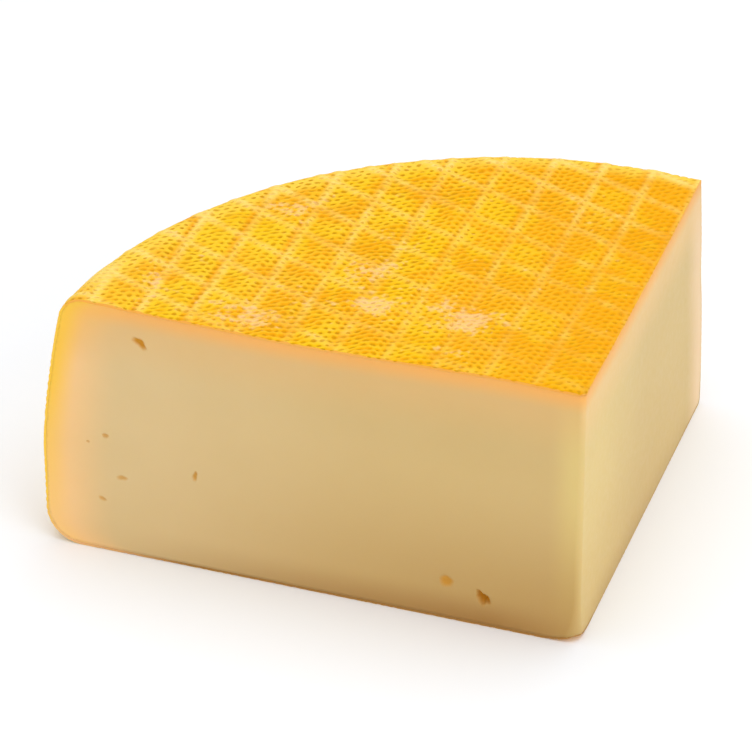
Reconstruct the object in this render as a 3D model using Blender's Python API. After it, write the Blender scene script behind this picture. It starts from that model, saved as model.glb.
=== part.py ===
"""A wedge of ridder cheese, cut by hand from a small washed-rind wheel and lying on the wheel's flat side.

The wedge is one solid. Its rim is lofted round the wheel from the longer cut to the shorter one, because the
wheel's section changes on the way: a full, soft shoulder at one end and a leaning flank with a crisp edge at
the other. The ribs that the draining mat leaves on the rind are edges of the top's mesh, raised a little.

Metres, +Z up. The longer cut faces -Y, the shorter one +X, and the origin is the middle of the base.
"""

import math

import bmesh
import bpy
from mathutils import Vector, noise
from mathutils.geometry import delaunay_2d_cdt

# The wheel, and the wedge in it. Plan positions are measured from the wedge's tip.
WHEEL_RADIUS = 0.118
WHEEL_HEIGHT = 0.0694
WHEEL_MIDDLE = Vector((-0.01775, -0.0029))
WEDGE_ANGLE = math.radians(88.18)

# The rim's section at the longer cut and at the shorter one
LONG_END = {"top_round": 0.0066, "foot_round": 0.0092, "lean": 0.0053, "lean_from": 0.0264}
SHORT_END = {"top_round": 0.0009, "foot_round": 0.0016, "lean": 0.0088, "lean_from": 0.0035}
LEAN_POWER = 1.5
ROUND_STEPS = 4
FLANK_STEPS = 5
RIM_STEP = 0.0050

# The power at which the top's unevenness fades out down the rim
TOP_FADE = 4

# A shallow dent in the rim, beside the shorter cut
DENT_DEPTH = 0.0008
DENT_HEIGHT = 0.0410
DENT_REACH = Vector((0.020, 0.007))

# The top is dished a little between its middle and its rim, and uneven
RIM_RISE = 0.0003
DISH_DEPTH = 0.0012
DISH_REACH = 0.106
UNEVEN = 0.0002
UNEVEN_SCALE = 0.028

# Ribs left by the draining mat: two families, each with its pitch, its direction and its first rib's place
RIB_FAMILIES = (
    {"pitch": 0.01225, "normal": math.radians(2.0), "phase": 0.04},
    {"pitch": 0.01130, "normal": math.radians(68.0), "phase": 0.13},
)
RIB_HEIGHT = 0.00035
RIB_HALF_WIDTH = 0.0011
RIB_ON_FLANK = 0.4
RIB_CLEAR = 0.0012

# Ribs that run this nearly along a cut don't cross it
LEAST_RISE = 0.1

# The tip's edge is worn round, more so at the foot, where it also lifts off the board
TIP_ROUND = 0.0015
TIP_ROUND_FOOT = 0.0022
TIP_ROUND_FADE = 0.012
TIP_STEPS = 5
TIP_LIFT = 0.0020
TIP_LIFT_REACH = 0.010
TIP_LIFT_HEIGHT = 0.009

# Inner points of the base, by their way from the tip and as shares of the lift's reach
BASE_WAYS = (0.2, 0.5, 0.8)
BASE_REACHES = (0.6, 1.0)

# Slow hollows that the knife leaves in the cut faces
KNIFE_WAVE = 0.0004
KNIFE_WAVE_SCALE = 0.022
CUT_GRID = 0.011

# Eyes in the longer cut: place along it from the tip, height, half length, half width, depth, turn
EYES = (
    {"along": 0.1098, "height": 0.0605, "half": (0.0021, 0.0009), "depth": 0.0012, "turn": -40.0},
    {"along": 0.1195, "height": 0.0327, "half": (0.0009, 0.0007), "depth": 0.0006, "turn": 0.0},
    {"along": 0.0966, "height": 0.0261, "half": (0.0014, 0.0006), "depth": 0.0009, "turn": 80.0},
    {"along": 0.1155, "height": 0.0216, "half": (0.0014, 0.0007), "depth": 0.0006, "turn": 5.0},
    {"along": 0.1208, "height": 0.0146, "half": (0.0011, 0.0006), "depth": 0.0006, "turn": -20.0},
    {"along": 0.0330, "height": 0.0106, "half": (0.0018, 0.0016), "depth": 0.0008, "turn": 0.0},
    {"along": 0.0239, "height": 0.0077, "half": (0.0021, 0.0014), "depth": 0.0022, "turn": -50.0},
)

# The way from the tip along each cut, and the material of each kind of face
CUTS = {
    "long": Vector((-1.0, 0.0)),
    "short": Vector((-math.cos(WEDGE_ANGLE), math.sin(WEDGE_ANGLE))),
}
RIND = 0
PASTE = 1
WELD = 1e-6


def mix(a, b, share):
    return a + (b - a) * share


def clear_scene():
    for obj in list(bpy.data.objects):
        bpy.data.objects.remove(obj, do_unlink=True)


def new_collection(name):
    collection = bpy.data.collections.new(name)
    bpy.context.scene.collection.children.link(collection)
    return collection


def new_material(name, colour, roughness):
    material = bpy.data.materials.new(name)
    material.use_nodes = True
    shader = material.node_tree.nodes["Principled BSDF"]
    shader.inputs["Base Color"].default_value = (*colour, 1.0)
    shader.inputs["Roughness"].default_value = roughness
    shader.inputs["Metallic"].default_value = 0.0
    return material


# The wheel's outline and its section


def cut_direction(share):
    """The way from the tip to the rim; share runs from 0 at the longer cut to 1 at the shorter one."""
    angle = math.pi - share * WEDGE_ANGLE
    return Vector((math.cos(angle), math.sin(angle)))


def rim_distance(direction):
    """How far the wheel's widest circle lies from the tip."""
    towards = direction.dot(WHEEL_MIDDLE)
    return towards + math.sqrt(towards**2 - WHEEL_MIDDLE.length_squared + WHEEL_RADIUS**2)


def rim_section(share):
    """The rind's section as (distance out, height, normal out, normal up), from the base to the top."""
    end = {name: mix(LONG_END[name], SHORT_END[name], share) for name in LONG_END}
    foot = end["foot_round"]
    rows = []
    for step in range(ROUND_STEPS + 1):
        angle = math.radians(90.0 * step / ROUND_STEPS - 90.0)
        out, up = math.cos(angle), math.sin(angle)
        rows.append((foot * (out - 1.0), foot * (up + 1.0), out, up))

    lean_slope = LEAN_POWER * end["lean"] / (WHEEL_HEIGHT - end["lean_from"])
    lean_angle = math.atan(lean_slope)
    shoulder = end["top_round"] / math.cos(lean_angle)
    shoulder_foot = WHEEL_HEIGHT - shoulder * (1.0 - math.sin(lean_angle))
    reach = shoulder_foot - end["lean_from"]
    for step in range(1, FLANK_STEPS + 1):
        height = mix(foot, shoulder_foot, step / FLANK_STEPS)
        over = max(0.0, height - end["lean_from"]) / reach
        slope = math.atan(lean_slope * math.sqrt(over))
        rows.append((-end["lean"] * over**LEAN_POWER, height, math.cos(slope), math.sin(slope)))

    centre = Vector((rows[-1][0] - shoulder * math.cos(lean_angle), WHEEL_HEIGHT - shoulder))
    for step in range(1, ROUND_STEPS + 1):
        angle = mix(lean_angle, math.pi / 2.0, step / ROUND_STEPS)
        out, up = math.cos(angle), math.sin(angle)
        rows.append((centre.x + shoulder * out, centre.y + shoulder * up, out, up))
    return rows


def dent(share, height):
    along = (1.0 - share) * WEDGE_ANGLE * WHEEL_RADIUS / DENT_REACH.x
    up = (height - DENT_HEIGHT) / DENT_REACH.y
    return DENT_DEPTH * math.exp(-(along**2) - up**2)


def top_edge(share):
    """Where the rim's shoulder meets the flat of the top, in plan."""
    direction = cut_direction(share)
    return direction * (rim_distance(direction) + rim_section(share)[-1][0])


# The ribs, and the height of the top


def rib_normal(family):
    return Vector((math.cos(family["normal"]), math.sin(family["normal"])))


def rib_relief(point):
    """How far the nearest rib raises the rind at a point of the plan."""
    height = 0.0
    for family in RIB_FAMILIES:
        turns = point.dot(rib_normal(family)) / family["pitch"] - family["phase"]
        distance = abs(turns - round(turns)) * family["pitch"]
        height = max(height, RIB_HEIGHT * (1.0 - distance / RIB_HALF_WIDTH))
    return height


def top_height(point):
    """The top's height at a point of the plan, ribs included."""
    out = (point - WHEEL_MIDDLE).length
    dish = RIM_RISE - DISH_DEPTH * math.sin(math.pi * min(1.0, out / DISH_REACH))
    uneven = UNEVEN * noise.noise(Vector((point.x, point.y, 0.0)) / UNEVEN_SCALE)
    return WHEEL_HEIGHT + dish + uneven + rib_relief(point)


def crossing_on_rim(family, level):
    """Where a line of a rib family meets the top's round edge, as a share of the way round, or None."""
    normal = rib_normal(family)
    low, high = 0.0, 1.0
    if not top_edge(low).dot(normal) < level < top_edge(high).dot(normal):
        return None
    while high - low > WELD:
        middle = (low + high) / 2.0
        if top_edge(middle).dot(normal) < level:
            low = middle
        else:
            high = middle
    return (low + high) / 2.0


def crossing_on_cut(family, level, direction, length):
    """Where the same line meets a cut's top edge, as a distance from the tip, or None."""
    rise = rib_normal(family).dot(direction)
    if abs(rise) < LEAST_RISE:
        return None
    place = level / rise
    tip_clear = TIP_ROUND + RIB_CLEAR
    return place if tip_clear < place < length - RIB_CLEAR else None


def rib_lines():
    """Every foot and crest line of the ribs as (share on the rim, which cut, distance along that cut)."""
    lengths = {"long": top_edge(0.0).length, "short": top_edge(1.0).length}
    rim_clear = RIB_CLEAR / (WEDGE_ANGLE * WHEEL_RADIUS)
    lines = []
    for family in RIB_FAMILIES:
        most = math.ceil(2.0 * WHEEL_RADIUS / family["pitch"])
        for index in range(-most, most + 1):
            for shift in (-RIB_HALF_WIDTH, 0.0, RIB_HALF_WIDTH):
                level = (index + family["phase"]) * family["pitch"] + shift
                share = crossing_on_rim(family, level)
                if share is None or not rim_clear < share < 1.0 - rim_clear:
                    continue
                for cut in CUTS:
                    place = crossing_on_cut(family, level, CUTS[cut], lengths[cut])
                    if place is not None:
                        lines.append((share, cut, place))
    return lines


# The wedge's mesh


def filled_stretch(places, longest):
    """Sorted places with more put in between, so that no stretch is longer than a given one."""
    places = sorted(set(places))
    result = [places[0]]
    for place in places[1:]:
        count = max(1, math.ceil((place - result[-1]) / longest))
        start = result[-1]
        result.extend(mix(start, place, step / count) for step in range(1, count + 1))
    return result


def under_top(height, top):
    """A height on a side, drawn up or down with the top above it; the foot stays."""
    return height + (top - WHEEL_HEIGHT) * (height / WHEEL_HEIGHT) ** TOP_FADE


def rim_column(share):
    """One upright row of points on the rind, ribs and dent included."""
    direction = cut_direction(share)
    widest = rim_distance(direction)
    relief = rib_relief(top_edge(share))
    top = top_height(top_edge(share)) - relief
    column = []
    for out, height, normal_out, normal_up in rim_section(share):
        rib = relief * mix(RIB_ON_FLANK, 1.0, (height / WHEEL_HEIGHT) ** TOP_FADE)
        rib *= min(1.0, height / LONG_END["foot_round"])
        plan = direction * (widest + out - dent(share, height) + rib * normal_out)
        column.append(Vector((plan.x, plan.y, under_top(height, top) + rib * normal_up)))
    return column


def tip_column(step, heights):
    """One upright row of points on the worn edge at the wedge's tip."""
    half = WEDGE_ANGLE / 2.0
    inward = cut_direction(0.5)
    top = top_height(inward * TIP_ROUND)
    column = []
    for height in heights:
        radius = TIP_ROUND + TIP_ROUND_FOOT * max(0.0, 1.0 - height / TIP_ROUND_FADE) ** 2
        centre = inward * radius / math.sin(half)
        angle = (math.pi - WEDGE_ANGLE) * step / TIP_STEPS - math.pi / 2.0
        plan = centre + radius * Vector((math.cos(angle), math.sin(angle)))
        column.append(Vector((plan.x, plan.y, under_top(height, top))))
    return column


def tip_heights():
    """The tip's rows stand at the mean height of the same rows at the two ends of the rim."""
    return [(a[1] + b[1]) / 2.0 for a, b in zip(rim_section(0.0), rim_section(1.0))]


def lifted(point):
    """A point of the foot near the tip, raised off the board."""
    away = max(0.0, 1.0 - Vector((point.x, point.y)).length / TIP_LIFT_REACH)
    down = max(0.0, 1.0 - point.z / TIP_LIFT_HEIGHT)
    return Vector((point.x, point.y, point.z + TIP_LIFT * away**2 * down))


def knife_wave(along, height, length):
    """How far the knife strayed into the paste at a point of a cut face; none along the face's edges."""
    fade = math.sin(math.pi * min(1.0, along / length)) * math.sin(math.pi * height / WHEEL_HEIGHT)
    stray = noise.noise(Vector((along, height, length)) / KNIFE_WAVE_SCALE)
    return KNIFE_WAVE * fade * (1.0 + stray) / 2.0


def into_paste(direction):
    """The way from a cut face into the paste."""
    side = Vector((-direction.y, direction.x))
    return side if side.dot(cut_direction(0.5)) > 0.0 else -side


def turns_left(corners):
    """Whether a ring of plane points runs counter-clockwise."""
    return sum(a.cross(b) for a, b in zip(corners, corners[1:] + corners[:1])) > 0.0


def fill_face(bm, ring, flat, solid, chords, inner, slot):
    """Closes a ring of vertices with triangles that keep the chords as edges; flat and solid turn a point of
    the model into the face's own two coordinates and back."""
    corners = [flat(vertex.co) for vertex in ring]
    outline = list(range(len(ring)))
    if not turns_left(corners):
        outline.reverse()
    points, _, triangles, origins, _, inside = delaunay_2d_cdt(
        corners + inner, chords, [outline], 1, WELD, True
    )
    vertices = []
    for point, origin in zip(points, origins):
        on_ring = [index for index in origin if index < len(ring)]
        vertices.append(ring[on_ring[0]] if on_ring else bm.verts.new(solid(point)))
    for triangle, rings in zip(triangles, inside):
        if rings:
            face = bm.faces.new([vertices[index] for index in triangle])
            face.material_index = slot


def bridge(bm, columns, slot):
    """Quads between neighbouring upright rows of vertices."""
    for left, right in zip(columns, columns[1:]):
        for row in range(len(left) - 1):
            face = bm.faces.new((left[row], right[row], right[row + 1], left[row + 1]))
            face.material_index = slot


def cut_grid(length):
    """Inner points of a cut face, on an even grid."""
    across = round(length / CUT_GRID)
    rows = round(WHEEL_HEIGHT / CUT_GRID)
    return [
        Vector((length * i / across, WHEEL_HEIGHT * j / rows))
        for i in range(1, across - 1)
        for j in range(1, rows)
    ]


def cut_top_edge(bm, lines, cut):
    """The cut's top edge as vertices by their distance from the tip, one where each rib line crosses it."""
    edge = {}
    for place in sorted({line[2] for line in lines if line[1] == cut}):
        plan = CUTS[cut] * place
        edge[place] = bm.verts.new((plan.x, plan.y, top_height(plan)))
    return edge


def fill_top(bm, lines, rim, tip, edges):
    """The top, with the ribs' feet and crests kept as edges of its mesh."""
    shares = list(rim)
    ring = [column[-1] for column in rim.values()]
    ring += reversed(edges["short"].values())
    ring += [column[-1] for column in reversed(tip)]
    ring += edges["long"].values()
    index_of = {vertex: index for index, vertex in enumerate(ring)}
    chords = [(shares.index(share), index_of[edges[cut][place]]) for share, cut, place in lines]
    fill_face(
        bm, ring, lambda co: co.xy, lambda plan: Vector((plan.x, plan.y, top_height(plan))), chords, [], RIND
    )


def fill_base(bm, rim, tip):
    """The base, flat but for the lift at the tip."""
    ring = [column[0] for column in rim.values()] + [column[0] for column in reversed(tip)]
    inner = [cut_direction(share) * TIP_LIFT_REACH * reach for share in BASE_WAYS for reach in BASE_REACHES]
    fill_face(bm, ring, lambda co: co.xy, lambda plan: lifted(Vector((plan.x, plan.y, 0.0))), [], inner, RIND)


def fill_cut(bm, cut, rim_end, tip_end, edge):
    """A cut face between the rim's end, the cut's top edge and the worn tip."""
    direction = CUTS[cut]
    inward = into_paste(direction)
    length = rim_distance(direction)

    def on_face(point):
        plan = direction * point.x + inward * knife_wave(point.x, point.y, length)
        return Vector((plan.x, plan.y, point.y))

    ring = [*rim_end, *reversed(edge.values()), *reversed(tip_end)]
    fill_face(
        bm, ring, lambda co: Vector((co.xy.dot(direction), co.z)), on_face, [], cut_grid(length), PASTE
    )


def build_wedge(bm):
    lines = rib_lines()
    longest = RIM_STEP / (WEDGE_ANGLE * WHEEL_RADIUS)
    rim = {
        share: [bm.verts.new(lifted(point)) for point in rim_column(share)]
        for share in filled_stretch([0.0, 1.0] + [line[0] for line in lines], longest)
    }
    heights = tip_heights()
    tip = [
        [bm.verts.new(lifted(point)) for point in tip_column(step, heights)] for step in range(TIP_STEPS + 1)
    ]
    bridge(bm, list(rim.values()), RIND)
    bridge(bm, tip, PASTE)

    edges = {cut: cut_top_edge(bm, lines, cut) for cut in CUTS}
    fill_top(bm, lines, rim, tip, edges)
    fill_base(bm, rim, tip)
    fill_cut(bm, "long", rim[0.0], tip[0], edges["long"])
    fill_cut(bm, "short", rim[1.0], tip[-1], edges["short"])


def middle_of_base(bm):
    """The middle of the wedge's plan, which becomes the origin."""
    xs = [vertex.co.x for vertex in bm.verts]
    ys = [vertex.co.y for vertex in bm.verts]
    return Vector(((min(xs) + max(xs)) / 2.0, (min(ys) + max(ys)) / 2.0, 0.0))


def add_eye(number, size, tip, collection):
    """A small flattened ball that sinks an eye into the longer cut."""
    hollow = knife_wave(size["along"], size["height"], rim_distance(CUTS["long"]))
    place = tip + Vector((-size["along"], hollow, size["height"]))
    bpy.ops.mesh.primitive_uv_sphere_add(segments=12, ring_count=8, radius=1.0, location=place)
    eye = bpy.context.object
    eye.name = f"eye_cutter_{number}"
    eye.scale = (size["half"][0], size["depth"], size["half"][1])
    eye.rotation_euler = (0.0, -math.radians(size["turn"]), 0.0)
    eye.hide_render = True
    eye.display_type = "WIRE"
    for old in list(eye.users_collection):
        old.objects.unlink(eye)
    collection.objects.link(eye)
    return eye


def main():
    clear_scene()
    parts = new_collection("ridder_cheese")
    cutters = new_collection("cutters")

    bm = bmesh.new()
    build_wedge(bm)
    bmesh.ops.recalc_face_normals(bm, faces=bm.faces)
    middle = middle_of_base(bm)
    bmesh.ops.translate(bm, vec=-middle, verts=bm.verts)
    mesh = bpy.data.meshes.new("cheese")
    bm.to_mesh(mesh)
    bm.free()
    mesh.materials.append(new_material("washed_rind", (0.93, 0.50, 0.04), 0.45))
    mesh.materials.append(new_material("cheese_paste", (0.74, 0.52, 0.25), 0.50))

    cheese = bpy.data.objects.new("cheese", mesh)
    parts.objects.link(cheese)
    for number, size in enumerate(EYES, start=1):
        eye = add_eye(number, size, -middle, cutters)
        cut = cheese.modifiers.new(eye.name, "BOOLEAN")
        cut.operation = "DIFFERENCE"
        cut.solver = "EXACT"
        cut.object = eye
    mesh.shade_smooth()
    mesh.set_sharp_from_angle(angle=math.radians(35.0))


main()
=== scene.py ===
"""The looks of a wedge of ridder cheese: its paste, its rind with the draining mat's print, and the shot."""

import math

import bmesh
import bpy
import numpy as np
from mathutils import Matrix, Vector, noise
from mathutils.geometry import delaunay_2d_cdt


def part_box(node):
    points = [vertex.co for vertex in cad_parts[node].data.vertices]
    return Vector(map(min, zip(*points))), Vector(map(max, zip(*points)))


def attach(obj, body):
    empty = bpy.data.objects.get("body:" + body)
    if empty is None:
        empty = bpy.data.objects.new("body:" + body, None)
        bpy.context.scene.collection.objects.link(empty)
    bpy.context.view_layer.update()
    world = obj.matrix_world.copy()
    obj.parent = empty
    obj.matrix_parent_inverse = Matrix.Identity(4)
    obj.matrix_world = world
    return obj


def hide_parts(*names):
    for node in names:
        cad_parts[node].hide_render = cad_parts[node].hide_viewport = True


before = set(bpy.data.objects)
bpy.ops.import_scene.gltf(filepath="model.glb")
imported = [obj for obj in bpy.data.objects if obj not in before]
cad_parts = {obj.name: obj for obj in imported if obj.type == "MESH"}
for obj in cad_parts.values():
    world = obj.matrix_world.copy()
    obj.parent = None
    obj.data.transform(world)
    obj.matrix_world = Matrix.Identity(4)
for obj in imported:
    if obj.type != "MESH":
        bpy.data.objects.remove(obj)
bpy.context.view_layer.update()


# The paste
#
# The body of the cheese is pressed, ripened curd, semi-soft and a little moist, with a few small eyes. It was
# cut from a small round wheel by hand with a long knife, so its cut faces are smooth but not quite flat.

# The wheel, and the wedge in it, with plan positions measured from the wedge's tip
WHEEL_RADIUS = 0.118
WHEEL_HEIGHT = 0.0694
WHEEL_MIDDLE = np.array([-0.01775, -0.0029])
WEDGE_ANGLE = math.radians(88.18)
RIM_LENGTH = WEDGE_ANGLE * WHEEL_RADIUS
LONG_CUT = np.array([-1.0, 0.0])
SHORT_CUT = np.array([-math.cos(WEDGE_ANGLE), math.sin(WEDGE_ANGLE)])
INTO_LONG_CUT = np.array([0.0, 1.0])
INTO_SHORT_CUT = np.array([-SHORT_CUT[1], SHORT_CUT[0]])

# The rim's section at the longer cut and at the shorter one
LONG_END = {"top_round": 0.0066, "foot_round": 0.0092, "lean": 0.0053, "lean_from": 0.0264}
SHORT_END = {"top_round": 0.0009, "foot_round": 0.0016, "lean": 0.0088, "lean_from": 0.0035}
LEAN_POWER = 1.5
TOP_FADE = 4

# The dent in the rim, the dished and uneven top, and the worn edge at the tip with its lifted foot
DENT_DEPTH = 0.0008
DENT_HEIGHT = 0.0410
DENT_REACH = (0.020, 0.007)
RIM_RISE = 0.0003
DISH_DEPTH = 0.0012
DISH_REACH = 0.106
UNEVEN = 0.0002
UNEVEN_SCALE = 0.028
TIP_ROUND = 0.0015
TIP_ROUND_FOOT = 0.0022
TIP_ROUND_FADE = 0.012
TIP_LIFT = 0.0020
TIP_LIFT_REACH = 0.010
TIP_LIFT_HEIGHT = 0.009
TIP_WORN_AWAY = 0.00005
TIP = np.array([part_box("cheese")[1][0] + TIP_WORN_AWAY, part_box("cheese")[0][1], 0.0])


def mix(a, b, share):
    return a + (b - a) * share


def smooth(low, high, value):
    share = np.clip((value - low) / (high - low), 0.0, 1.0)
    return share * share * (3.0 - 2.0 * share)


def noise_at(places, scale, seed=0.0):
    """Smooth noise at plane places."""
    return np.array([noise.noise(Vector((x / scale, y / scale, seed))) for x, y in places])


def rim_way(share):
    """The way from the tip to the rim; share runs from 0 at the longer cut to 1 at the shorter one."""
    angle = math.pi - np.asarray(share, float) * WEDGE_ANGLE
    return np.stack([np.cos(angle), np.sin(angle)], -1)


def rim_distance(way):
    """How far the wheel's widest circle lies from the tip."""
    towards = way @ WHEEL_MIDDLE
    return towards + np.sqrt(towards**2 - WHEEL_MIDDLE @ WHEEL_MIDDLE + WHEEL_RADIUS**2)


def rim_sizes(share):
    """The sizes of the rim's section at each share of the way round."""
    sizes = {name: mix(LONG_END[name], SHORT_END[name], np.asarray(share, float)) for name in LONG_END}
    sizes["lean_slope"] = LEAN_POWER * sizes["lean"] / (WHEEL_HEIGHT - sizes["lean_from"])
    sizes["lean_angle"] = np.arctan(sizes["lean_slope"])
    sizes["shoulder"] = sizes["top_round"] / np.cos(sizes["lean_angle"])
    sizes["shoulder_foot"] = WHEEL_HEIGHT - sizes["shoulder"] * (1.0 - np.sin(sizes["lean_angle"]))
    sizes["flank_from"] = sizes["shoulder"] * (math.pi / 2.0 - sizes["lean_angle"])
    sizes["foot_from"] = sizes["flank_from"] + sizes["shoulder_foot"] - sizes["foot_round"]
    sizes["length"] = sizes["foot_from"] + sizes["foot_round"] * math.pi / 2.0
    return sizes


def lifted(points):
    """The wedge's foot near the tip stands a little off the board."""
    away = np.clip(1.0 - np.linalg.norm(points[:, :2], axis=1) / TIP_LIFT_REACH, 0.0, None)
    down = np.clip(1.0 - points[:, 2] / TIP_LIFT_HEIGHT, 0.0, None)
    return points + np.column_stack([away * 0.0, away * 0.0, TIP_LIFT * away**2 * down])


def top_height(plan):
    """The top's height without the print, at plan positions."""
    out = np.linalg.norm(plan - WHEEL_MIDDLE, axis=1)
    dish = RIM_RISE - DISH_DEPTH * np.sin(math.pi * np.clip(out / DISH_REACH, 0.0, 1.0))
    return WHEEL_HEIGHT + dish + UNEVEN * noise_at(plan, UNEVEN_SCALE)


def top_edge(share):
    """Where the rim's shoulder meets the flat of the top, in plan."""
    sizes = rim_sizes(share)
    way = rim_way(share)
    inset = sizes["lean"] + sizes["shoulder"] * np.cos(sizes["lean_angle"])
    return way * (rim_distance(way) - inset)[:, None]


def foot_edge(share):
    """Where the rim meets the flat of the base, in plan."""
    way = rim_way(share)
    return way * (rim_distance(way) - rim_sizes(share)["foot_round"])[:, None]


def rim_surface(share, down, depth):
    """Points of the rim and the way out of it, at distances down its section and a depth under its skin."""
    sizes = rim_sizes(share)
    turn = math.pi / 2.0 - down / sizes["shoulder"]
    shoulder_out = sizes["shoulder"] * (np.cos(turn) - np.cos(sizes["lean_angle"])) - sizes["lean"]
    shoulder_up = WHEEL_HEIGHT - sizes["shoulder"] * (1.0 - np.sin(turn))

    flank_up = np.clip(sizes["shoulder_foot"] + sizes["flank_from"] - down, 0.0, sizes["shoulder_foot"])
    over = np.clip(flank_up - sizes["lean_from"], 0.0, None) / (sizes["shoulder_foot"] - sizes["lean_from"])
    flank_out = -sizes["lean"] * over**LEAN_POWER
    flank_turn = np.arctan(sizes["lean_slope"] * np.sqrt(over))

    foot_turn = (sizes["foot_from"] - down) / sizes["foot_round"]
    foot_out = sizes["foot_round"] * (np.cos(foot_turn) - 1.0)
    foot_up = sizes["foot_round"] * (np.sin(foot_turn) + 1.0)

    where = [down < sizes["flank_from"], down > sizes["foot_from"]]
    out = np.select(where, [shoulder_out, foot_out], flank_out)
    up = np.select(where, [shoulder_up, foot_up], flank_up)
    angle = np.select(where, [turn, foot_turn], flank_turn)

    along = (1.0 - share) * RIM_LENGTH / DENT_REACH[0]
    out = out - DENT_DEPTH * np.exp(-(along**2) - ((up - DENT_HEIGHT) / DENT_REACH[1]) ** 2)
    rise = (top_height(top_edge(share)) - WHEEL_HEIGHT) * (up / WHEEL_HEIGHT) ** TOP_FADE
    way = rim_way(share)
    outward = np.column_stack([way * np.cos(angle)[:, None], np.sin(angle)])
    points = np.column_stack([way * (rim_distance(way) + out)[:, None], up + rise])
    return points - outward * depth, outward


def tip_round(heights, steps):
    """Upright rows of plan positions on the worn edge between the cuts, from the longer one on."""
    radius = TIP_ROUND + TIP_ROUND_FOOT * np.clip(1.0 - heights / TIP_ROUND_FADE, 0.0, None) ** 2
    middle = rim_way(0.5) * (radius / math.sin(WEDGE_ANGLE / 2.0))[:, None]
    turns = np.linspace(0.0, math.pi - WEDGE_ANGLE, steps + 1) - math.pi / 2.0
    return [middle + radius[:, None] * np.array([math.cos(turn), math.sin(turn)]) for turn in turns]


def even(start, end, spacing):
    """Evenly spaced numbers from start to end."""
    return np.linspace(start, end, max(2, math.ceil(abs(end - start) / spacing) + 1))


def grid(low, high, spacing):
    """Plane points on a triangular grid."""
    x, y = np.meshgrid(
        np.arange(low[0], high[0], spacing), np.arange(low[1], high[1], spacing * math.sqrt(3.0) / 2.0)
    )
    x = x + (np.arange(len(y)) % 2)[:, None] * spacing / 2.0
    return np.column_stack([x.ravel(), y.ravel()])


def fill(ring, inner):
    """Triangles between a ring of plane points and the points inside it, counter-clockwise in that plane."""
    after = np.roll(ring, -1, axis=0)
    outline = list(range(len(ring)))
    if np.sum(ring[:, 0] * after[:, 1] - ring[:, 1] * after[:, 0]) < 0.0:
        outline.reverse()
    corners = [Vector(point) for point in np.vstack([ring, inner])]
    _, _, triangles, origins, _, inside = delaunay_2d_cdt(corners, [], [outline], 1, 1e-9, True)
    source = np.array([origin[0] if origin else -1 for origin in origins])
    return source[np.array([triangle for triangle, rings in zip(triangles, inside) if rings])]


# The plan's outline is worked in two lengths, one along each cut, so that both cuts stay straight, and the
# wedge fits in the plan's box
ALONG_CUTS = np.linalg.inv(np.column_stack([LONG_CUT, SHORT_CUT])).T
PLAN_BOX = ((-0.14, 0.0), (0.001, 0.12))
TIP_STEPS = 8
WELD_REACH = 2e-7
ON_CUT = 1e-7


def plan_ring(edge, height, step):
    """The ring of the top or the base, from its four stretches: rim, shorter cut, tip and longer cut."""
    shares = even(0.0, 1.0, step / RIM_LENGTH)
    rim = edge(shares)
    tip = np.array([row[0] for row in tip_round(np.array([height]), TIP_STEPS)])
    short = SHORT_CUT * even(np.linalg.norm(tip[-1]), np.linalg.norm(rim[-1]), step)[1:-1, None]
    long = LONG_CUT * even(np.linalg.norm(tip[0]), np.linalg.norm(rim[0]), step)[1:-1, None]
    plan = np.vstack([rim, short[::-1], tip[::-1], long])
    flat = plan @ ALONG_CUTS
    flat[len(rim) - 1 : len(rim) + len(short) + 1, 0] = 0.0
    flat[len(rim) + len(short) + TIP_STEPS :, 1] = 0.0
    flat[0, 1] = 0.0
    return {"plan": plan, "flat": flat, "shares": shares, "short": short, "long": long, "tip": tip}


def inside_plan(spacing, edge):
    """Plan points inside the top or the base, clear of its ring."""
    points = grid(*PLAN_BOX, spacing)
    share = (math.pi - np.arctan2(points[:, 1], points[:, 0])) / WEDGE_ANGLE
    reach = np.linalg.norm(edge(np.clip(share, 0.0, 1.0)), axis=1)
    distance = np.linalg.norm(points, axis=1)
    worn = (TIP_ROUND + TIP_ROUND_FOOT) / math.sin(WEDGE_ANGLE / 2.0)
    good = (points @ ALONG_CUTS > spacing / 2.0).all(axis=1)
    return points[good & (distance < reach - spacing / 2.0) & (distance > worn)]


def plan_patch(ring, edge, spacing, solid, up):
    """The top or the base as points and triangles, facing up or down."""
    inner = inside_plan(spacing, edge)
    faces = fill(ring["flat"], inner @ ALONG_CUTS)
    plan = np.vstack([ring["plan"], inner])
    return {"plan": plan, "points": solid(plan), "faces": faces[:, ::-1] if up else faces}


def strip_ring(shares, start, end, step):
    """The ring of a stretch of the rim as (share, distance down its section); start and end are those
    distances at its upper and lower side."""
    right = even(start[-1], end[-1], step)
    left = even(start[0], end[0], step)
    share = np.concatenate([shares[:-1], np.ones(len(right) - 1), shares[:0:-1], np.zeros(len(left) - 1)])
    down = np.concatenate([start[:-1], right[:-1], end[:0:-1], left[:0:-1]])
    return {"share": share, "down": down, "shares": shares, "start": start, "end": end}


def strip_patch(ring, spacing, depth):
    """A stretch of the rim as points and triangles, facing out."""
    inner = grid((0.0, 0.0), (RIM_LENGTH, ring["down"].max()), spacing)
    share = inner[:, 0] / RIM_LENGTH
    clear = spacing / 2.0
    good = inner[:, 1] > np.interp(share, ring["shares"], ring["start"]) + clear
    good &= inner[:, 1] < np.interp(share, ring["shares"], ring["end"]) - clear
    good &= (inner[:, 0] > clear) & (inner[:, 0] < RIM_LENGTH - clear)
    faces = fill(np.column_stack([ring["share"] * RIM_LENGTH, ring["down"]]), inner[good])
    share = np.concatenate([ring["share"], share[good]])
    down = np.concatenate([ring["down"], inner[good, 1]])
    points, outward = rim_surface(share, down, depth)
    return {"share": share, "down": down, "points": points, "faces": faces, "outward": outward}


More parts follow.
